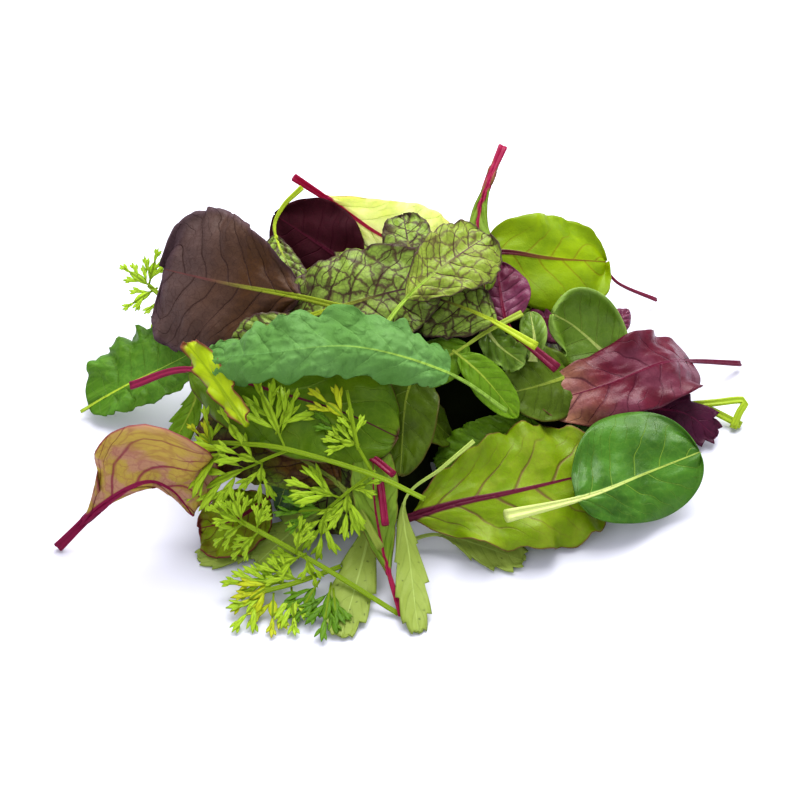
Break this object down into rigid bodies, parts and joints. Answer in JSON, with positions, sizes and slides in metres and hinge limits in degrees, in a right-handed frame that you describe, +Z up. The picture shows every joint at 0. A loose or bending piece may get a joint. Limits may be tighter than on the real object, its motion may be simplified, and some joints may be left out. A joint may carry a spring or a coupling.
{
  "type": "heap of mixed baby salad leaves",
  "caption": "Loose heap of mixed baby salad leaves, red and green, with stalks and feathery sprigs, as it lies on a flat surface.",
  "frame": {"origin": "centre of the heap's bounding box, on the surface it lies on", "axes": "+Z up, -Y towards the viewer of the picture, +X to the viewer's right along the heap's longest side"},
  "size_m": [0.2322, 0.1844, 0.0789],
  "materials": {
    "mixed_leaves": "mixed green and red leaf, waxy, soft sheen",
    "green_leaf": "fresh green leaf, waxy, soft sheen",
    "red_leaf": "maroon leaf, waxy, soft sheen",
    "sprig": "fine yellow-green lobes",
    "stalk": "crimson juicy stalk, slightly glossy"
  },
  "bodies": {
    "root": {"salad_heap": "mixed_leaves"}
  },
  "joints": []
}
